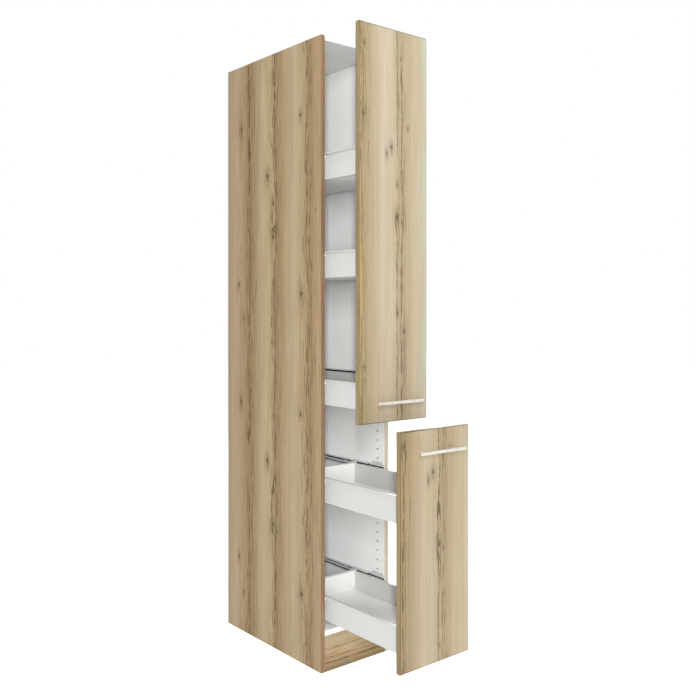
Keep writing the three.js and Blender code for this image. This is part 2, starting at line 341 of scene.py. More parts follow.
def woodDecor(name, look):
    # printed wood: strips of tone, streaks, year lines, cracks and knots, all running along the board
    material, shader, where, axis = startMaterial(name, roughness=0.55, specular=0.35)
    across, along = [axis[a] for a in look["axes"]]
    depthAxis = next(a for a in "XYZ" if a not in look["axes"])
    depth = axis[depthAxis] * 0.013 + look["seed"]
    # the print repeats its knots along the board
    printed = calc("FRACT", (along - look["seam"]) / look["repeat"]) * look["repeat"] + look["seam"]
    dark = None
    for acrossMm, alongMm, sizeMm in look["knots"]:
        across, dark = use(knot, across=across, along=printed, dark=dark, knotAcross=acrossMm,
                           knotAlong=alongMm, size=sizeMm)
    bent = use(wander, across=across, along=along, depth=depth, amount=look["wander"])
    lowMm, highMm = look["strips"][0][0], look["strips"][-1][0]
    share = between(bent, lowMm, highMm, smooth=False)

    def striped(stops):
        return ramp(share, [((placeMm - lowMm) / (highMm - lowMm), tone) for placeMm, tone in stops])

    streak, pores = use(grain, across=bent, along=along, depth=depth)
    tint = streak * (look["streaks"] * look["shade"]) + look["shade"]
    colour = mixed(1.0, striped(look["strips"]), vector(tint, tint, calc("POWER", tint, 1.2)), "MULTIPLY")
    cloudy = noise(vector(bent * 0.03, along * 0.004, depth), detail=3)
    colour = mixed(between(cloudy, 0.42, 0.68, 0, look["clouds"]), colour, linear(look["cloudTone"]))
    spacing, reach, width = look["lines"]
    coarse = use(yearLines, across=bent, along=along, depth=depth, spacing=spacing, reach=reach, swirl=3.2,
                 width=width)
    faint = use(yearLines, across=bent, along=along, depth=depth + 9, spacing=spacing * 0.45,
                reach=reach * 0.8, swirl=2.6, width=width * 0.6)
    lines = calc("MAXIMUM", coarse, faint * 0.5) * striped(look["lineStrips"])
    dark = calc("MAXIMUM", dark, calc("MAXIMUM", lines, pores * 0.3))
    lineAcross = across + (bent - across) * 0.5
    for number, (placeMm, wanderMm, widthMm, lengthMm, amount, tone) in enumerate(look["cracks"]):
        mask = use(crack, across=lineAcross, along=along, place=placeMm, wander=wanderMm, width=widthMm,
                   length=lengthMm, share=amount, seed=look["seed"] * 1.7 + number * 2.3)
        dark = calc("MAXIMUM", dark, mask * tone)
    colour = mixed(dark * look["darkness"], colour, linear(look["darkTone"]))
    colour = rubbed(colour, where, 0.55, look["rubTone"])
    roughness = streak * 0.05 + 0.52 + dark * 0.15
    dress(shader, colour, roughness, streak * 0.25 - dark, distance=0.12 * mm, strength=0.6)
    return material


# strips and lineStrips: millimetres across the board; lines: spacing, reach, width
# cracks: place, wander, width, length, share shown, tone; knots: across, along, size
sideLook = {
    "axes": "YZ", "seed": 3.0, "wander": 9, "streaks": 0.13, "shade": 0.78, "clouds": 0.3,
    "cloudTone": "98805c",
    "darkness": 0.92, "darkTone": "4c3820", "rubTone": "7d6140", "lines": (11, 260, 2.6),
    "strips": [(-20, "b09678"), (6, "ba9e7e"), (22, "b69c7a"), (36, "aa906c"), (52, "a68a66"),
               (66, "b69c76"), (84, "baa27e"), (112, "c0ac8c"), (132, "c4b090"), (150, "bca888"),
               (178, "bca482"), (198, "b69c7a"), (214, "aa926e"), (234, "a68a68"), (252, "b89e76"),
               (268, "c4ae8a"), (290, "c2ac88"), (320, "c2b08e"), (340, "baa280"), (360, "b09874"),
               (378, "a88c68"), (398, "a68a62"), (416, "a88c6a"), (436, "b49878"), (456, "ba9e7e"),
               (478, "c0a88a"), (510, "bca486"), (545, "b49c82")],
    "lineStrips": [(-20, "808080"), (30, "c0c0c0"), (60, "ffffff"), (96, "b0b0b0"), (118, "484848"),
                   (170, "484848"), (205, "a8a8a8"), (240, "ffffff"), (268, "e0e0e0"), (290, "606060"),
                   (340, "686868"), (378, "f0f0f0"), (410, "ffffff"), (440, "a8a8a8"), (480, "606060"),
                   (545, "808080")],
    "cracks": [(244, 8, 2.6, 420, 0.85, 1.0), (258, 7, 1.9, 340, 0.6, 0.85), (400, 6, 2.4, 460, 0.75, 0.95),
               (384, 8, 1.7, 300, 0.55, 0.75), (66, 9, 2.3, 380, 0.75, 0.95), (44, 9, 1.9, 300, 0.6, 0.85),
               (20, 6, 1.8, 420, 0.45, 0.6), (455, 6, 1.8, 350, 0.45, 0.5), (196, 6, 1.6, 380, 0.35, 0.45)],
    "repeat": 1000, "seam": -20,
    "knots": [(453, 838, 16), (101, 828, 12), (400, 738, 12), (288, 643, 17), (255, 545, 12),
              (255, 432, 17), (467, 268, 12), (96, 230, 17), (436, 146, 10), (60, 407, 8)],
}
frontStrips = [(-150, "a08a62"), (-145, "b09866"), (-137, "ac9672"), (-126, "a69472"), (-114, "aa9878"),
               (-102, "ac9c7e"), (-88, "b0a286"), (-74, "b6a68e"), (-62, "baaa94"), (-48, "c0b29e"),
               (-34, "c0b29e"), (-20, "bcb09c"), (-6, "bcae96"), (8, "baac92"), (16, "b4a68a"),
               (28, "b2a286"), (40, "b2a084"), (55, "b0a084"), (68, "b4a488"), (82, "b8aa8e"),
               (96, "beb098"), (110, "bcae98"), (124, "beb49e"), (138, "c2c0ac"), (150, "bebeac")]
upperLook = {
    "axes": "XZ", "seed": 11.0, "wander": 4, "streaks": 0.105, "shade": 0.83, "clouds": 0.22,
    "cloudTone": "a4906e",
    "darkness": 0.92, "darkTone": "54442c", "rubTone": "8a7450", "strips": frontStrips,
    "lines": (8, 240, 1.7),
    "lineStrips": [(-150, "e0e0e0"), (-128, "e8e8e8"), (-108, "909090"), (-90, "404040"), (-20, "383838"),
                   (8, "808080"), (18, "e0e0e0"), (44, "d8d8d8"), (62, "707070"), (90, "404040"),
                   (150, "303030")],
    "cracks": [(15, 3, 1.7, 520, 0.85, 0.95), (34, 4, 1.9, 460, 0.85, 1.0), (46, 5, 1.3, 300, 0.5, 0.7),
               (-138, 4, 1.9, 420, 0.7, 0.8), (-130, 4, 1.5, 340, 0.6, 0.7), (-110, 4, 1.5, 340, 0.4, 0.55),
               (4, 4, 1.0, 300, 0.35, 0.45), (66, 5, 1.0, 260, 0.35, 0.4), (-70, 5, 0.9, 260, 0.3, 0.3)],
    "repeat": 1000, "seam": -110,
    "knots": [(-130, 784, 12), (-10, 691, 12), (-27, 669, 10), (16, 576, 9), (16, 473, 16), (29, 456, 8),
              (-126, 0, 9), (46, 108, 12), (20, 166, 7), (63, 759, 7)],
}
lowerLook = dict(upperLook, seed=17.0, streaks=0.115,
    strips=[(-150, "a08860"), (-144, "a08a64"), (-134, "a48e6a"), (-122, "a4906e"), (-108, "a69272"),
            (-96, "a89476"), (-84, "b2a084"), (-70, "b4a288"), (-56, "baaa92"), (-40, "baae94"),
            (-26, "b8ac92"), (-12, "baac90"), (2, "b8a88e"), (13, "b4a286"), (26, "b2a084"), (40, "ae987a"),
            (56, "ae9a7c"), (70, "b4a086"), (86, "baaa8e"), (110, "b8aa8e"), (128, "c0b094"),
            (142, "beb2a0"), (150, "b6ae9c")],
    cracks=[(14, 3, 1.8, 520, 0.85, 1.0), (32, 5, 1.8, 420, 0.75, 0.9), (46, 5, 1.4, 300, 0.5, 0.7),
            (-137, 5, 2.4, 420, 0.8, 0.9), (-128, 4, 1.6, 340, 0.6, 0.7), (-112, 4, 1.5, 340, 0.45, 0.6),
            (2, 4, 1.0, 300, 0.35, 0.4), (66, 5, 1.0, 260, 0.35, 0.4)])
plinthLook = {
    "axes": "ZX", "seed": 23.0, "wander": 3, "streaks": 0.14, "shade": 0.77, "clouds": 0.35,
    "cloudTone": "94704a", "darkness": 0.9, "darkTone": "4a3420", "rubTone": "7d6140",
    "lines": (9, 300, 2.2),
    # the dark tone at 0 mm, fading out by 5 mm along the bottom edge, is painted shade where the plinth
    # meets the floor
    "strips": [(0, "6e624a"), (5, "94825e"), (14, "a28e68"), (26, "a88e68"), (40, "baa07c"), (54, "bea47e"),
               (70, "c0aa86"), (90, "c0ac8c"), (106, "bcac92"), (118, "bcae98")],
    "lineStrips": [(0, "a0a0a0"), (30, "b0b0b0"), (60, "d0d0d0"), (90, "808080"), (118, "606060")],
    "cracks": [(10, 1.2, 1.4, 400, 0.7, 0.6), (27, 1.6, 1.8, 700, 1.0, 1.0), (44, 2, 1.8, 260, 0.6, 0.8),
               (56, 1.8, 1.5, 220, 0.6, 0.8), (72, 1.8, 1.6, 240, 0.6, 0.7), (88, 1.6, 1.2, 200, 0.5, 0.6)],
    "repeat": 1000, "seam": -500, "knots": [(88, 100, 8), (34, 122, 7)],
}


def edgeBand(name, **look):
    # plastic band that is glued on a board's edge, with the decor's tone and faint lines along it
    material, shader, where, axis = startMaterial(name, roughness=0.5, specular=0.4)
    across = axis["X"] + axis["Y"]
    streak, pores = use(grain, across=across, along=axis["Z"], depth=look["seed"])
    colour = mixed(between(streak, -0.8, 0.8), linear(look["dark"]), linear(look["light"]))
    tide = noise(vector(across * 0.12, axis["Z"] * 0.01))
    colour = mixed(between(tide, 0.4, 0.7, 0, look["tide"]), colour, linear(look["tideTone"]))
    colour = rubbed(colour, where, 0.5, look["rub"])
    dress(shader, colour, between(streak, -1, 1, 0.56, 0.44), streak, distance=0.06 * mm, strength=0.5)
    return material


def plainFinish(name, **look):
    # one-coloured skin: melamine, powder coat or moulded plastic
    middle = look["roughness"]
    material, shader, where, axis = startMaterial(name, middle, specular=look["specular"])
    tone = linear(look["tone"])
    colour, dust = use(plainTone, where=where, colour=tone, unevenness=look["unevenness"], dust=look["dust"])
    colour = rubbed(colour, where, look["rub"], look["rubTone"])
    skin = use(pebble, where=where, size=look["grainMm"])
    roughness = between(skin, 0.3, 0.7, middle - 0.05, middle + 0.05) + dust * 0.3
    dress(shader, colour, roughness, skin, look["grainMm"] * mm * 0.06, look["bump"])
    return material


def rawBoard(name, **look):
    # cut chipboard or hardboard: pressed flakes
    material, shader, where, axis = startMaterial(name, roughness=0.85, specular=0.2)
    cells = newNode("TexVoronoi", {"Scale": 1 / look["flakeMm"], "Vector": where})
    flake = newNode("SeparateColor", [Level(cells.outputs["Color"])])
    shade, lift = Level(flake.outputs[0]), Level(flake.outputs[1])
    colour = ramp(shade, [(0, look["dark"]), (0.45, look["middle"]), (1, look["light"])])
    pitted = noise(where, scale=1.4, detail=4, rough=0.7)
    colour = mixed(between(pitted, 0.6, 0.75, 0, 0.6), colour, linear(look["pit"]))
    dress(shader, colour, between(pitted, 0.3, 0.7, 0.8, 0.95), lift - pitted * 0.8, distance=0.2 * mm,
          strength=0.6)
    return material


def metalFinish(name, **look):
    # brushed, rolled or plated metal with lines along one axis
    middle = look["roughness"]
    material, shader, where, axis = startMaterial(name, middle, metallic=look["metallic"])
    across, around = [level for label, level in axis.items() if label != look["along"]]
    lines, cloud = use(metalLines, across=across, around=around, along=axis[look["along"]])
    colour = mixed(between(cloud, 0.35, 0.65), linear(look["dark"]), linear(look["light"]))
    colour = mixed(between(lines, 0.35, 0.7, 0, 0.35), colour, linear(look["line"]))
    roughness = between(lines, 0.3, 0.7, middle - 0.07, middle + 0.09)
    dress(shader, colour, roughness, lines, distance=0.03 * mm, strength=look["bump"])
    return material


sideDecor = woodDecor("side wood decor", sideLook)
upperDecor = woodDecor("upper front wood decor", upperLook)
lowerDecor = woodDecor("lower front wood decor", lowerLook)
plinthDecor = woodDecor("plinth wood decor", plinthLook)
frontBand = edgeBand("front edge band", dark="7c6a4a", light="968360", tide=0.3, tideTone="8d7650",
                     rub="544530", seed=2.0)
edgeSeam = edgeBand("edge seam", dark="3e3422", light="54462e", tide=0.4, tideTone="362c1c", rub="5e4c32",
                    seed=8.0)
leftBand = edgeBand("left side edge band", dark="745e42", light="927858", tide=0.6, tideTone="865e44",
                    rub="5c4430", seed=4.0)
rightBand = edgeBand("right side edge band", dark="b8b19e", light="c6c0ae", tide=0.25, tideTone="b0a690",
                     rub="b0a48c", seed=6.0)
whiteMelamine = plainFinish("white melamine", tone="f6f6f5", roughness=0.45, specular=0.45, unevenness=0.03,
                            dust=0.12, rub=0.35, rubTone="cfcac0", grainMm=0.7, bump=0.35)
whiteBand = plainFinish("white edge band", tone="f3f2f0", roughness=0.38, specular=0.5, unevenness=0.02,
                        dust=0.08, rub=0.4, rubTone="d5d0c6", grainMm=0.5, bump=0.25)
whiteCoat = plainFinish("white powder coat", tone="cacac8", roughness=0.34, specular=0.5, unevenness=0.02,
                        dust=0.08, rub=0.3, rubTone="c9c7c2", grainMm=0.9, bump=0.5)
nylonWhite = plainFinish("roller nylon", tone="ecebe4", roughness=0.42, specular=0.5, unevenness=0.04,
                         dust=0.35, rub=0.5, rubTone="b9b4a8", grainMm=0.35, bump=0.3)
chipCore = rawBoard("chipboard core", flakeMm=1.6, dark="8f6f48", middle="b8986b", light="d2b98f",
                    pit="5f472c")
# painted shade: near-black chipboard inside the shelf-pin holes stands for the shade in them
holeShadeCore = rawBoard("chipboard with painted hole shade", flakeMm=1.2, dark="12100e", middle="1c1916", light="28231d",
                       pit="0e0c0b")
hardboard = rawBoard("hardboard back", flakeMm=1.1, dark="7c664e", middle="8f785d", light="a68f72",
                     pit="66523d")
zincSheet = metalFinish("zinc plated steel", along="Y", roughness=0.45, metallic=0.2, dark="cfd1d1",
                        light="dfe1e1", line="b0b3b3", bump=0.4)
# painted shade: a near-black finish for the runner's inner track, standing for the shade in the gap above
# the tray rims
paintedShadeTrack = plainFinish("painted track shade", tone="1e1d1c", roughness=0.6, specular=0.1, unevenness=0.3,
                           dust=0.05, rub=0.1, rubTone="4a4845", grainMm=1.4, bump=0.5)
zincScrew = metalFinish("zinc plated screws", along="Z", roughness=0.3, metallic=0.9, dark="b4b6b4",
                        light="d3d4d0", line="8c8e8c", bump=0.2)
satinBar = metalFinish("satin steel", along="X", roughness=0.3, metallic=0.9, dark="e0dcd4", light="f2efe8",
                       line="ccc6ba", bump=0.4)
print("finishes made")


def roundCorners(corners, radius, closed=True, steps=4):
    result = []
    for i, corner in enumerate(corners):
        here = Vector(corner)
        wanted = radius[i] if isinstance(radius, (list, tuple)) else radius
        if wanted <= 0 or (not closed and i in (0, len(corners) - 1)):
            result.append(here)
            continue
        before = Vector(corners[i - 1]) - here
        after = Vector(corners[(i + 1) % len(corners)]) - here
        half = before.angle(after) / 2
        reach = min(wanted / math.tan(half), before.length * 0.49, after.length * 0.49)
        size = reach * math.tan(half)
        middle = here + (before.normalized() + after.normalized()).normalized() * (size / math.sin(half))
        first, last = here + before.normalized() * reach - middle, here + after.normalized() * reach - middle
        begin = math.atan2(first.y, first.x)
        sweep = (math.atan2(last.y, last.x) - begin + math.pi) % (2 * math.pi) - math.pi
        for k in range(steps + 1):
            turn = begin + sweep * k / steps
            result.append(middle + Vector((math.cos(turn), math.sin(turn))) * size)
    return result


def foldedSheet(path, thickness, bend):
    # outline of a sheet that follows an open path with rounded folds
    line = roundCorners(path, bend, closed=False)
    left, right = [], []
    for i, point in enumerate(line):
        forward = (line[min(i + 1, len(line) - 1)] - line[max(i - 1, 0)]).normalized()
        out = Vector((-forward.y, forward.x)) * thickness / 2
        left.append(point + out)
        right.append(point - out)
    return left + right[::-1]


def addPrism(bm, outline, span, axis):
    # the outline's two numbers are the other two axes, in the order X, Y, Z
    def at(point, level):
        a, b = point
        return {"X": (level, a, b), "Y": (a, level, b), "Z": (a, b, level)}[axis]

    near, far = [[bm.verts.new(at(p, level)) for p in outline] for level in span]
    faces = [bm.faces.new(near), bm.faces.new(far[::-1])]
    for i in range(len(outline)):
        j = (i + 1) % len(outline)
        faces.append(bm.faces.new((near[i], far[i], far[j], near[j])))
    bmesh.ops.recalc_face_normals(bm, faces=faces)
    return faces


def prism(outline, span, axis):
    bm = bmesh.new()
    addPrism(bm, outline, span, axis)
    return bm


def addTurned(bm, profile, centre, axis="X", steps=32):
    # profile points are (radius, place along the axis); radius 0 closes on the axis
    along, up, over = {"X": ((1, 0, 0), (0, 1, 0), (0, 0, 1)), "Y": ((0, 1, 0), (0, 0, 1), (1, 0, 0)),
                       "Z": ((0, 0, 1), (1, 0, 0), (0, 1, 0))}[axis]
    along, up, over, centre = Vector(along), Vector(up), Vector(over), Vector(centre)
    rings = []
    for radius, level in profile:
        base = centre + along * level
        if radius < 1e-7:
            rings.append([bm.verts.new(base)])
            continue
        turns = [2 * math.pi * k / steps for k in range(steps)]
        rings.append([bm.verts.new(base + (up * math.cos(t) + over * math.sin(t)) * radius) for t in turns])
    pairs = list(zip(rings, rings[1:]))
    if len(rings[0]) > 1:
        pairs.append((rings[-1], rings[0]))
    faces = []
    for first, second in pairs:
        for k in range(steps):
            n = (k + 1) % steps
            ends = ((first, k), (first, n), (second, n), (second, k))
            corners = [ring[i % len(ring)] for ring, i in ends]
            unique = list(dict.fromkeys(corners))
            if len(unique) > 2:
                faces.append(bm.faces.new(unique))
    bmesh.ops.recalc_face_normals(bm, faces=faces)
    return faces


def turned(profile, centre, axis="X", steps=32):
    bm = bmesh.new()
    addTurned(bm, profile, centre, axis, steps)
    return bm


def combined(base, tools, operation="UNION"):
    # joins or cuts closed meshes, and returns one closed mesh
    made = []
    for bm in [base, *tools]:
        mesh = bpy.data.meshes.new("temporary")
        bm.to_mesh(mesh)
        bm.free()
        thing = bpy.data.objects.new("temporary", mesh)
        bpy.context.scene.collection.objects.link(thing)
        made.append(thing)
    for tool in made[1:]:
        step = made[0].modifiers.new("join", "BOOLEAN")
        step.operation = operation
        step.solver = "EXACT"
        step.object = tool
    graph = bpy.context.evaluated_depsgraph_get()
    result = bmesh.new()
    result.from_object(made[0], graph)
    for thing in made:
        mesh = thing.data
        bpy.data.objects.remove(thing)
        bpy.data.meshes.remove(mesh)
    bmesh.ops.dissolve_limit(result, angle_limit=0.005, verts=result.verts, edges=result.edges)
    return result


def joinedUp(parts):
    # several meshes as one, each still its own shell
    whole = bmesh.new()
    for part in parts:
        mesh = bpy.data.meshes.new("temporary")
        part.to_mesh(mesh)
        part.free()
        whole.from_mesh(mesh)
        bpy.data.meshes.remove(mesh)
    return whole


def copied(bm, move):
    # a copy through a matrix; a mirroring one keeps the faces turned out
    other = bm.copy()
    bmesh.ops.transform(other, matrix=move, verts=other.verts)
    if move.to_3x3().determinant() < 0:
        bmesh.ops.reverse_faces(other, faces=other.faces)
    return other


def easedBox(low, high, ease, cuts=(), steps=2):
    # a box with eased edges; cuts are (axis, place) where a seam runs round it
    bm = bmesh.new()
    bmesh.ops.create_cube(bm, size=1)
    middle, size = (Vector(low) + Vector(high)) / 2, Vector(high) - Vector(low)
    for vert in bm.verts:
        vert.co = middle + Vector(a * b for a, b in zip(vert.co, size))
    bmesh.ops.bevel(bm, geom=bm.edges[:], offset=ease, segments=steps, profile=0.5, affect="EDGES")
    for axis, level in cuts:
        normal = Vector([float(a == axis) for a in "XYZ"])
        bmesh.ops.bisect_plane(bm, geom=bm.verts[:] + bm.edges[:] + bm.faces[:], plane_co=normal * level,
                               plane_no=normal)
    return bm


def paint(bm, rule):
    bm.normal_update()
    for face in bm.faces:
        face.material_index = rule(face.calc_center_median(), face.normal)


def inMetres(**sizes):
    # sizes given in millimetres, each a number or several
    return {key: tuple(s * mm for s in size) if isinstance(size, tuple) else size * mm
            for key, size in sizes.items()}


mirrorX = Matrix.Diagonal((-1, 1, 1, 1))


def makePiece(name, bm, materials, body, replaced=(), eased=None):
    # eased is the width of the eased edge faces, which get the "edge" flag
    mesh = bpy.data.meshes.new(name)
    bm.normal_update()
    if eased:
        flag = bm.faces.layers.float.new("edge")
        for face in bm.faces:
            slanted = max(abs(c) for c in face.normal) < 0.999
            shortest = min(edge.calc_length() for edge in face.edges)
            face[flag] = 1.0 if slanted and shortest < eased else 0.0
    bm.to_mesh(mesh)
    bm.free()
    for material in materials:
        mesh.materials.append(material)
    mesh.shade_smooth()
    mesh.set_sharp_from_angle(angle=math.radians(38))
    piece = bpy.data.objects.new(name, mesh)
    bpy.context.scene.collection.objects.link(piece)
    weighted = piece.modifiers.new("flat faces stay flat", "WEIGHTED_NORMAL")
    weighted.keep_sharp = True
    weighted.weight = 80
    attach(piece, body)
    if replaced:
        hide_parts(*replaced)
    return piece


screwShape = inMetres(recessWidth=0.9, recessDepth=1.0, recessSpan=2.3)


def crossCut(bm, reach, half, low, high):
    # two crossing slots cut into the middle of a round head
    ends = ((reach, half), (half, reach))
    bars = [easedBox((-x, -y, low), (x, y, high), 0.1 * mm, steps=1) for x, y in ends]
    return combined(bm, bars, "DIFFERENCE")


def crossHead(radius, height, rim):
    # screw head round the origin; its flat underside faces -Z and it has a cross recess
    profile = [(0, 0), (radius, 0), (radius, rim)]
    steps = 5
    for k in range(1, steps + 1):
        turn = math.pi / 2 * k / steps
        profile.append((radius * math.cos(turn), rim + (height - rim) * math.sin(turn)))
    profile[-1] = (0, height)
    head = turned(profile, (0, 0, 0), "Z", 20)
    deep = height - min(screwShape["recessDepth"], height * 0.7)
    return crossCut(head, screwShape["recessSpan"], screwShape["recessWidth"] / 2, deep, height + mm)


panHead = crossHead(3.5 * mm, 1.6 * mm, 0.5 * mm)
lowHead = crossHead(3.4 * mm, 0.8 * mm, 0.2 * mm)
facing = {
    "+X": Matrix.Rotation(math.radians(90), 4, "Y"), "-X": Matrix.Rotation(math.radians(-90), 4, "Y"),
    "+Y": Matrix.Rotation(math.radians(-90), 4, "X"), "-Y": Matrix.Rotation(math.radians(90), 4, "X"),
    "+Z": Matrix.Identity(4), "-Z": Matrix.Rotation(math.radians(180), 4, "X"),
}


def screwsAt(head, spots, turn=0.4):
    # copies of a head at (point, direction), each turned a little further
    parts = []
    for k, (point, direction) in enumerate(spots):
        spin = Matrix.Rotation(turn * (k + 1), 4, "Z")
        parts.append(copied(head, Matrix.Translation(point) @ facing[direction] @ spin))
    return joinedUp(parts)


# seam: a dark line along the top of the outer faces; mouth: the worn rim of a hole; skin: the white facing
carcass = inMetres(
    ease=0.7, backEase=0.3, band=1.0, seam=2.0, holeRadius=2.5, holeDepth=11, holePoint=1.5,
    holeSetback=37, holePitch=32, firstHole=14.25, lastHole=14, mouth=0.35, grooveDepth=8,
    grooveRoom=0.3, skin=0.6)
sideLow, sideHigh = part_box("side_panel_right")
floorLow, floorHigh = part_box("bottom_board")
topLow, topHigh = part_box("top_board")
backLow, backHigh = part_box("back_panel")
innerX = sideLow.x
rowY = sideLow.y + carcass["holeSetback"]
rowRoom = topLow.z - carcass["lastHole"] - floorHigh.z - carcass["firstHole"]
rowCount = int(rowRoom / carcass["holePitch"] + 1e-6) + 1
rowHeights = [floorHigh.z + carcass["firstHole"] + k * carcass["holePitch"] for k in range(rowCount)]


def sideBoard():
    cuts = [("Y", sideLow.y + carcass["band"]), ("Z", sideHigh.z - carcass["seam"])]
    body = easedBox(sideLow, sideHigh, carcass["ease"], cuts)
    groove = easedBox((innerX - mm, backLow.y - carcass["grooveRoom"], sideLow.z - mm),
                      (innerX + carcass["grooveDepth"], backHigh.y + carcass["grooveRoom"], sideHigh.z + mm),
                      hair, steps=1)
    r, mouth, deep = carcass["holeRadius"], carcass["mouth"], carcass["holeDepth"]
    drill = [(0, -mm), (r + mouth + mm, -mm), (r, mouth), (r, deep - carcass["holePoint"]), (0, deep)]
    drills = bmesh.new()
    for height in rowHeights:
        addTurned(drills, drill, (innerX, rowY, height), "X", 20)
    return combined(body, [groove, drills], "DIFFERENCE")


def sideRule(centre, normal):
    # 0 decor, 1 white, 2 front band, 3 raw core, 4 inside the holes, near-black as painted shade, 5 dark
    # line along the top
    fromRow = abs(centre.y - rowY)
    depth = abs(centre.x) - innerX
    nearHole = fromRow < carcass["holeRadius"] + 2 * carcass["mouth"]
    if nearHole and hair < depth < carcass["holeDepth"] + 2 * hair:
        return 4
    if centre.y < sideLow.y + carcass["band"] + hair:
        return 2
    if abs(normal.x) > 0.5:
        outside = abs(centre.x) > (sideLow.x + sideHigh.x) / 2
        if outside and normal.x * centre.x > 0:
            return 5 if centre.z > sideHigh.z - carcass["seam"] else 0
        return 1 if abs(centre.x) < innerX + carcass["skin"] else 3
    return 3


rightBoard = sideBoard()
leftBoard = copied(rightBoard, mirrorX)
for name, bm, band in (("side_panel_right", rightBoard, rightBand),
                       ("side_panel_left", leftBoard, leftBand)):
    paint(bm, sideRule)
    materials = [sideDecor, whiteMelamine, band, chipCore, holeShadeCore, edgeSeam]
    makePiece(name + "_board", bm, materials, "carcass", [name], eased=carcass["ease"])


def crossRule(low):
    def rule(centre, normal):
        # 0 white, 1 front band, 2 raw core
        if centre.y < low.y + carcass["band"] + hair:
            return 1
        return 0 if abs(normal.z) > 0.5 else 2
    return rule


for name in ("top_board", "bottom_board"):
    low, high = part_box(name)
    bm = easedBox(low, high, carcass["ease"], [("Y", low.y + carcass["band"])])
    paint(bm, crossRule(low))
    makePiece(name + "_finished", bm, [whiteMelamine, whiteBand, chipCore], "carcass", [name],
              eased=carcass["ease"])

low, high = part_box("plinth_board")
bm = easedBox(low, high, carcass["ease"])
paint(bm, lambda centre, normal: 0 if abs(normal.y) > 0.5 else 1)
makePiece("plinth_board_finished", bm, [plinthDecor, chipCore], "carcass", ["plinth_board"],
          eased=carcass["ease"])

bm = easedBox(backLow, backHigh, carcass["backEase"])
paint(bm, lambda centre, normal: 0 if normal.y < -0.5 else 1)
makePiece("back_panel_finished", bm, [whiteMelamine, hardboard], "carcass", ["back_panel"],
          eased=carcass["backEase"])

# cam fittings let into the outer faces of the top and bottom boards
cams = inMetres(
    radius=7.5, thickness=1.2, chamfer=0.25, slotReach=5, slotHalf=0.6, slotDepth=0.8, fromFront=37,
    fromBack=60, fromSide=34, topSunk=0.02, bottomProud=0.18)
r, chamfer = cams["radius"], cams["chamfer"]
camProfile = [(0, -cams["thickness"]), (r, -cams["thickness"]), (r, -chamfer), (r - chamfer, 0), (0, 0)]
cam = crossCut(turned(camProfile, (0, 0, 0), "Z", 32), cams["slotReach"], cams["slotHalf"],
               -cams["slotDepth"], mm)
camSpots = []
for sign in (-1, 1):
    for y in (topLow.y + cams["fromFront"], topHigh.y - cams["fromBack"]):
        x = sign * (topHigh.x - cams["fromSide"])
        camSpots.append((Vector((x, y, topHigh.z - cams["topSunk"])), "+Z"))
        camSpots.append((Vector((x, y, floorLow.z - cams["bottomProud"])), "-Z"))
makePiece("cam_fittings", screwsAt(cam, camSpots, 0.7), [zincScrew], "carcass")
print("carcass made")


fronts = inMetres(ease=0.8, band=2.0)
bars = inMetres(radius=5, post=4, spacing=128, chamfer=0.7, dome=0.35)


def frontRule(low, high):
    edge = fronts["band"]

    def rule(centre, normal):
        # 0 decor, 1 edge band, 2 a dark line round the face, next to the band
        nearEdge = min(centre.x - low.x, high.x - centre.x, centre.z - low.z, high.z - centre.z)
        if abs(normal.y) < 0.5:
            return 1
        return 2 if nearEdge < edge else 0
    return rule


def makeHandle(name, frontFace, body):
    low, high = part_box(name)
    centre = Vector((0, low.y + bars["radius"], (low.z + high.z) / 2))
    half, r, cut, dome = (high.x - low.x) / 2, bars["radius"], bars["chamfer"], bars["dome"]
    profile = [(0, -half), (r * 0.6, -half + dome * 0.35), (r - cut, -half + dome), (r, -half + dome + cut)]
    profile += [(radius, -level) for radius, level in reversed(profile)]
    bar = turned(profile, centre, "X", 40)
    posts = []
    for sign in (-1, 1):
        x = sign * bars["spacing"] / 2
        length, thick = frontFace - centre.y, bars["post"]
        post = [(0, 0), (thick, 0), (thick, length - 0.4 * mm), (thick - 0.3 * mm, length), (0, length)]
        posts.append(turned(post, (x, centre.y, centre.z), "Y", 32))
    makePiece(name + "_finished", combined(bar, posts), [satinBar], body, [name])
    return centre


for part, decor in (("upper", upperDecor), ("lower", lowerDecor)):
    body = part + "_pullout"
    low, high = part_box(part + "_front")
    seams = [("X", low.x + fronts["band"]), ("X", high.x - fronts["band"]),
             ("Z", low.z + fronts["band"]), ("Z", high.z - fronts["band"])]
    bm = easedBox(low, high, fronts["ease"], seams)
    paint(bm, frontRule(low, high))
    makePiece(part + "_front_board", bm, [decor, frontBand, edgeSeam], body, [part + "_front"],
              eased=fronts["ease"])
    centre = makeHandle(part + "_handle", low.y, body)
    spots = [(Vector((sign * bars["spacing"] / 2, high.y, centre.z)), "+Y") for sign in (-1, 1)]
    makePiece(part + "_handle_screws", screwsAt(panHead, spots), [zincScrew], body)
print("fronts and handles made")


steel = 1.2 * mm
# the last three sizes bound the painted shade inside the track: dark below the first and above the second,
# and in the mouth only up to the third
runners = inMetres(
    height=22, width=10.8, lip=2, mouth=72, rise=10, slope=20, nose=24, noseDrop=4, bend=1.1,
    corner=2.5, pinY=12, pinRadius=2, pinHead=3.2, pinHeadDepth=0.6, slotY=(96, 200, 312, 424),
    slotLength=11, slotWidth=5, screwY=(34, 258, 450), greaseLow=-7, greaseHigh=0.5, smearHigh=5.5)
trays = inMetres(
    rimRise=2, lip=4.5, ledge=15, tab=16, tabDrop=8, tabFloorGap=7.5, earRise=5, earSlope=4,
    earCorner=2.5, inset=12, bend=1.5, board=16, gap=0.25, tabScrew=12, floorScrews=(40, 250, 440),
    backScrews=(30, 56), backScrewIn=8)
rollerShape = inMetres(radius=9.5, bore=2.3, round=0.9, hub=4.2, rimInner=7.6, dish=0.9, dimpleRadius=0.9)
dimpleCount = 6


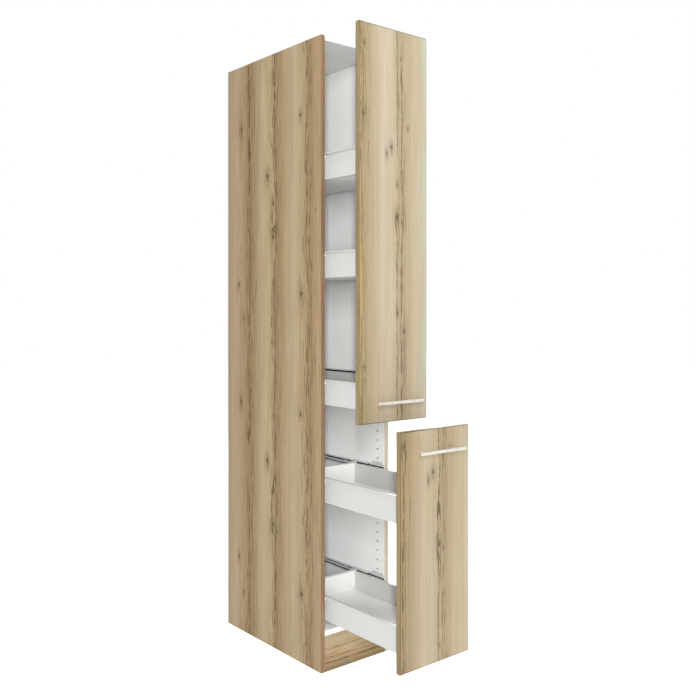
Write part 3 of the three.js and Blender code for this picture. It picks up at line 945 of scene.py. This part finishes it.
def pinParts(start, end, headAt, y, z):
    # a pin between two values of X with a domed rivet head
    r, head, depth = runners["pinRadius"], runners["pinHead"], runners["pinHeadDepth"]
    low, high = sorted((start, end))
    side = 1 if headAt > (low + high) / 2 else -1
    shaft = turned([(0, low), (r, low), (r, high), (0, high)], (0, y, z), "X", 20)
    edge = headAt - side * depth
    dome = [(0, edge), (head, edge), (head, edge + side * depth * 0.4),
            (head * 0.75, edge + side * depth * 0.8), (0, headAt)]
    return [shaft, turned(dome, (0, y, z), "X", 24)]


rollerInner, rollerOuter = [corner.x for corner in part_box("lower_1_front_roller_right")]


def makeRunner():
    # right-hand runner at its own front end (Y 0) and axis (Z 0)
    low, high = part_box("lower_1_runner_right")
    length = high.y - low.y
    wall = high.x
    bottom, top = -runners["height"] / 2, runners["height"] / 2
    rise, mouth, nose, drop = runners["rise"], runners["mouth"], runners["nose"], runners["noseDrop"]
    web = [(0, bottom - drop), (nose, bottom - drop), (nose + drop, bottom), (length, bottom), (length, top),
           (mouth, top), (mouth - runners["slope"], top + rise), (rise, top + rise), (0, top)]
    c = runners["corner"]
    outline = roundCorners(web, [c, c, c, 0.3 * mm, 0.3 * mm, c, c, c, c])
    plate = prism(outline, (wall - steel, wall), "X")
    lipX = wall - runners["width"] + trays["gap"] + steel / 2
    webX = wall - steel / 2
    parts = []
    for sign, start in ((1, mouth), (-1, nose + drop)):
        edge = sign * (runners["height"] / 2 - steel / 2)
        path = [(webX, edge - sign * 5 * mm), (webX, edge), (lipX, edge),
                (lipX, edge - sign * (runners["lip"] + steel / 2))]
        parts.append(prism(foldedSheet(path, steel, runners["bend"]), (start, length), "Y"))
    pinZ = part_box("lower_1_front_roller_right")[0].z + rollerShape["radius"] - axisOf("lower_1")
    pinEnd = rollerInner - runners["pinHeadDepth"] - 0.2 * mm
    parts += pinParts(pinEnd + runners["pinHeadDepth"] / 2, wall - steel / 2, pinEnd, runners["pinY"], pinZ)
    whole = combined(plate, parts)
    slots = bmesh.new()
    for y in runners["slotY"]:
        half = runners["slotWidth"] / 2
        reach = runners["slotLength"] / 2
        slot = roundCorners([(y - reach, -half), (y + reach, -half), (y + reach, half), (y - reach, half)],
                            half * 0.98, steps=6)
        addPrism(slots, slot, (wall - 3 * steel, wall + steel), "X")
    channel = combined(whole, [slots], "DIFFERENCE")
    for level in (runners["greaseLow"], runners["greaseHigh"], runners["smearHigh"]):
        bmesh.ops.bisect_plane(channel, geom=channel.verts[:] + channel.edges[:] + channel.faces[:],
                               plane_co=(0, 0, level), plane_no=(0, 0, 1))

    def trackShade(centre, normal):
        # painted shade: the track under the top flange and above the bottom one, and the flanges' inner
        # faces, get a near-black colour that stands for the shade in the channel
        inside = centre.x > lipX + steel and centre.y > nose
        track = normal.x < -0.9 and not runners["greaseLow"] < centre.z < runners["greaseHigh"]
        if centre.y < mouth and centre.z > runners["smearHigh"]:
            track = False
        flange = abs(normal.z) > 0.9 and normal.z * centre.z < 0
        return 1 if inside and abs(centre.z) < top and (track or flange) else 0

    paint(channel, trackShade)
    return channel


def axisOf(row):
    # height of a runner's axis, from the rear roller that runs in it
    low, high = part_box(row + "_rear_roller_right")
    return (low.z + high.z) / 2


rows = ["lower_1", "lower_2", "upper_1", "upper_2", "upper_3"]
runnerRight = makeRunner()
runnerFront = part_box("lower_1_runner_right")[0].y
screwSpots = []
for row in rows:
    move = Matrix.Translation((0, runnerFront, axisOf(row)))
    for side, mirror in (("right", Matrix.Identity(4)), ("left", mirrorX)):
        bm = copied(runnerRight, mirror @ move)
        makePiece(row + "_runner_" + side + "_channel", bm, [zincSheet, paintedShadeTrack], "carcass",
                  [row + "_runner_" + side])
        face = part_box(row + "_runner_right")[1].x - steel
        for y in runners["screwY"]:
            sign = 1 if side == "right" else -1
            spot = Vector((sign * (face + 0.5 * mm), runnerFront + y, axisOf(row)))
            screwSpots.append((spot, "-X" if side == "right" else "+X"))
makePiece("runner_screws", screwsAt(lowHead, screwSpots), [zincScrew], "carcass")
print("runners made")


def makeRoller():
    # round the origin, along X, dished on both faces
    s, half = rollerShape, (rollerOuter - rollerInner) / 2
    profile = [(s["bore"], -half + 0.2 * mm), (s["bore"] + 0.3 * mm, -half), (s["hub"], -half),
               (s["hub"] + 0.3 * mm, -half + s["dish"]), (s["rimInner"] - 0.3 * mm, -half + s["dish"]),
               (s["rimInner"], -half)]
    corner = s["radius"] - s["round"]
    for k in range(5):
        turn = math.pi / 2 * k / 4
        profile.append((corner + s["round"] * math.sin(turn), -half + s["round"] * (1 - math.cos(turn))))
    profile += [(radius, -level) for radius, level in reversed(profile)]
    ring = turned(profile, (0, 0, 0), "X", 48)
    pits = bmesh.new()
    middle = (s["hub"] + s["rimInner"]) / 2
    for k in range(dimpleCount):
        turn = 2 * math.pi * k / dimpleCount
        centre = (0, middle * math.cos(turn), middle * math.sin(turn))
        for sign in (-1, 1):
            pit = [(0, sign * (half - 2 * mm)), (s["dimpleRadius"], sign * (half - 2 * mm)),
                   (s["dimpleRadius"], sign * (half + mm)), (0, sign * (half + mm))]
            addTurned(pits, pit, centre, "X", 12)
    return combined(ring, [pits], "DIFFERENCE")


roller = makeRoller()
for row in rows:
    for kind in ("front", "rear"):
        for side in ("left", "right"):
            node = row + "_" + kind + "_roller_" + side
            low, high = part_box(node)
            makePiece(node + "_wheel", copied(roller, Matrix.Translation((low + high) / 2)), [nylonWhite],
                      node, [node])
print("rollers made")


def makeTraySide():
    # right-hand tray side at the front's back face (Y 0) and the runner's axis (Z 0)
    low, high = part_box("lower_1_tray_side_right")
    axis = axisOf("lower_1")
    length = high.y - low.y
    bottom, rim = low.z - axis, trays["rimRise"]
    plateX = low.x + trays["ledge"] + steel / 2
    rimX = high.x - steel / 2
    earStart = length - 2 * trays["inset"] + trays["gap"]
    ledge = [(low.x, bottom + steel / 2), (plateX, bottom + steel / 2), (plateX, rim - 6 * mm)]
    sheet = prism(foldedSheet(ledge, steel, trays["bend"]), (0, length), "Y")
    rimPath = [(plateX, rim - 20 * mm), (plateX, rim - steel / 2), (rimX, rim - steel / 2),
               (rimX, rim - trays["lip"])]
    parts = [prism(foldedSheet(rimPath, steel, trays["bend"]), (0, earStart), "Y")]
    ear = [(earStart - 6 * mm, rim - 20 * mm), (length, rim - 20 * mm), (length, rim + trays["earRise"]),
           (earStart + trays["earSlope"], rim + trays["earRise"]), (earStart, rim - 0.2 * mm),
           (earStart - 6 * mm, rim - 3 * mm)]
    corner = trays["earCorner"]
    outline = roundCorners(ear, [0, 0, corner, corner, mm, 0])
    parts.append(prism(outline, (plateX - steel / 2, plateX + steel / 2), "X"))
    tabLow = bottom + steel + trays["gap"] + trays["board"] + trays["tabFloorGap"]
    tabHigh = rim - trays["tabDrop"]
    tabEnd = plateX + steel / 2 - trays["tab"] - steel / 2
    fold = foldedSheet([(plateX, 8 * mm), (plateX, steel / 2), (tabEnd, steel / 2)], steel, trays["bend"])
    parts.append(prism(fold, (tabLow, tabHigh), "Z"))
    pinEnd = rollerOuter + 0.2 * mm + runners["pinHeadDepth"]
    parts += pinParts(plateX, pinEnd - runners["pinHeadDepth"] / 2, pinEnd, length - trays["inset"], 0)
    return combined(sheet, parts), tabLow, tabHigh, plateX


traySideRight, tabLow, tabHigh, plateX = makeTraySide()
for row in rows:
    body = row.split("_")[0] + "_pullout"
    low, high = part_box(row + "_tray_side_right")
    axis = axisOf(row)
    start = low.y
    move = Matrix.Translation((0, start, axis))
    spots = []
    for side, sign, mirror in (("right", 1, Matrix.Identity(4)), ("left", -1, mirrorX)):
        node = row + "_tray_side_" + side
        makePiece(node + "_sheet", copied(traySideRight, mirror @ move), [whiteCoat], body,
                  [node])
        tabX = sign * (plateX - steel / 2 - trays["tab"] * 0.55)
        for z in (tabLow + trays["tabScrew"], tabHigh - trays["tabScrew"]):
            spots.append((Vector((tabX, start + steel, axis + z)), "+Y"))
        for y in trays["floorScrews"]:
            spots.append((Vector((sign * (plateX - trays["ledge"] * 0.5), start + y, low.z)), "-Z"))
        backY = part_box(row + "_tray_back")[0].y + trays["backScrewIn"]
        for z in trays["backScrews"]:
            outward = "+X" if sign > 0 else "-X"
            spots.append((Vector((sign * (plateX + steel / 2), backY, low.z + z)), outward))
    makePiece(row + "_tray_screws", screwsAt(lowHead, spots), [zincScrew], body)
    for node, ease in ((row + "_tray_floor", 1.0 * mm), (row + "_tray_back", 1.2 * mm)):
        low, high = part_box(node)
        board = easedBox(low, high, ease, steps=3)
        makePiece(node + "_board", board, [whiteMelamine], body, [node], eased=ease)
print("trays made")


light = {"surround": 0.13, "key": 180, "right": 8, "top": 92, "rear": 130, "cloth": 0.5, "fromBelow": 0.45}


def makeStage():
    bm = bmesh.new()
    bmesh.ops.create_grid(bm, x_segments=8, y_segments=8, size=14)
    mesh = bpy.data.meshes.new("floor")
    bm.to_mesh(mesh)
    bm.free()
    floor = bpy.data.objects.new("floor", mesh)
    material, shader, where, axis = startMaterial("pale floor", roughness=0.9, specular=0.1)
    tone, dust = use(plainTone, where=where, colour=linear("e9e9e8"), unevenness=0.01, dust=0.0)
    feed(shader.inputs["Base Color"], tone)
    # a lit cloth: soft light from below, and pure white to the eye
    seen = Level(material.node_tree.nodes.new("ShaderNodeLightPath").outputs["Is Camera Ray"])
    shader.inputs["Emission Color"].default_value = (1, 1, 1, 1)
    low = light["fromBelow"]
    feed(shader.inputs["Emission Strength"], between(seen, 0, 1, low, low + light["cloth"], smooth=False))
    mesh.materials.append(material)
    bpy.context.scene.collection.objects.link(floor)


def addSoftbox(name, spot, target, size, power):
    lamp = bpy.data.lights.new(name, "AREA")
    lamp.shape = "RECTANGLE"
    lamp.size, lamp.size_y = size
    lamp.energy = power
    thing = bpy.data.objects.new(name, lamp)
    thing.location = spot
    thing.rotation_euler = (Vector(target) - Vector(spot)).to_track_quat("-Z", "Y").to_euler()
    bpy.context.scene.collection.objects.link(thing)


makeStage()
addSoftbox("key strip", (-2.95, -3.35, 1.75), (0, 0.1, 1.05), (0.3, 2.2), light["key"])
addSoftbox("right softbox", (1.5, -3.9, 1.8), (0, 0, 1.0), (2.2, 2.4), light["right"])
addSoftbox("top softbox", (-0.3, -1.3, 4.4), (0, 0, 1.0), (3.0, 3.0), light["top"])
addSoftbox("rear softbox", (2.8, 3.4, 2.4), (0, 0.2, 1.0), (2.6, 2.6), light["rear"])

# a white studio: bright to the eye and in reflections, soft as a light
world = bpy.data.worlds.new("studio")
bpy.context.scene.world = world
world.use_nodes = True
surround = world.node_tree.nodes["Background"].inputs
surround["Color"].default_value = (1, 1, 1, 1)
ray = world.node_tree.nodes.new("ShaderNodeLightPath").outputs
seen = calc("MAXIMUM", Level(ray["Is Camera Ray"]), Level(ray["Is Glossy Ray"]))
feed(surround["Strength"], between(seen, 0, 1, light["surround"], 1, smooth=False))
bpy.context.scene.view_settings.view_transform = "Standard"
print("floor and light made")
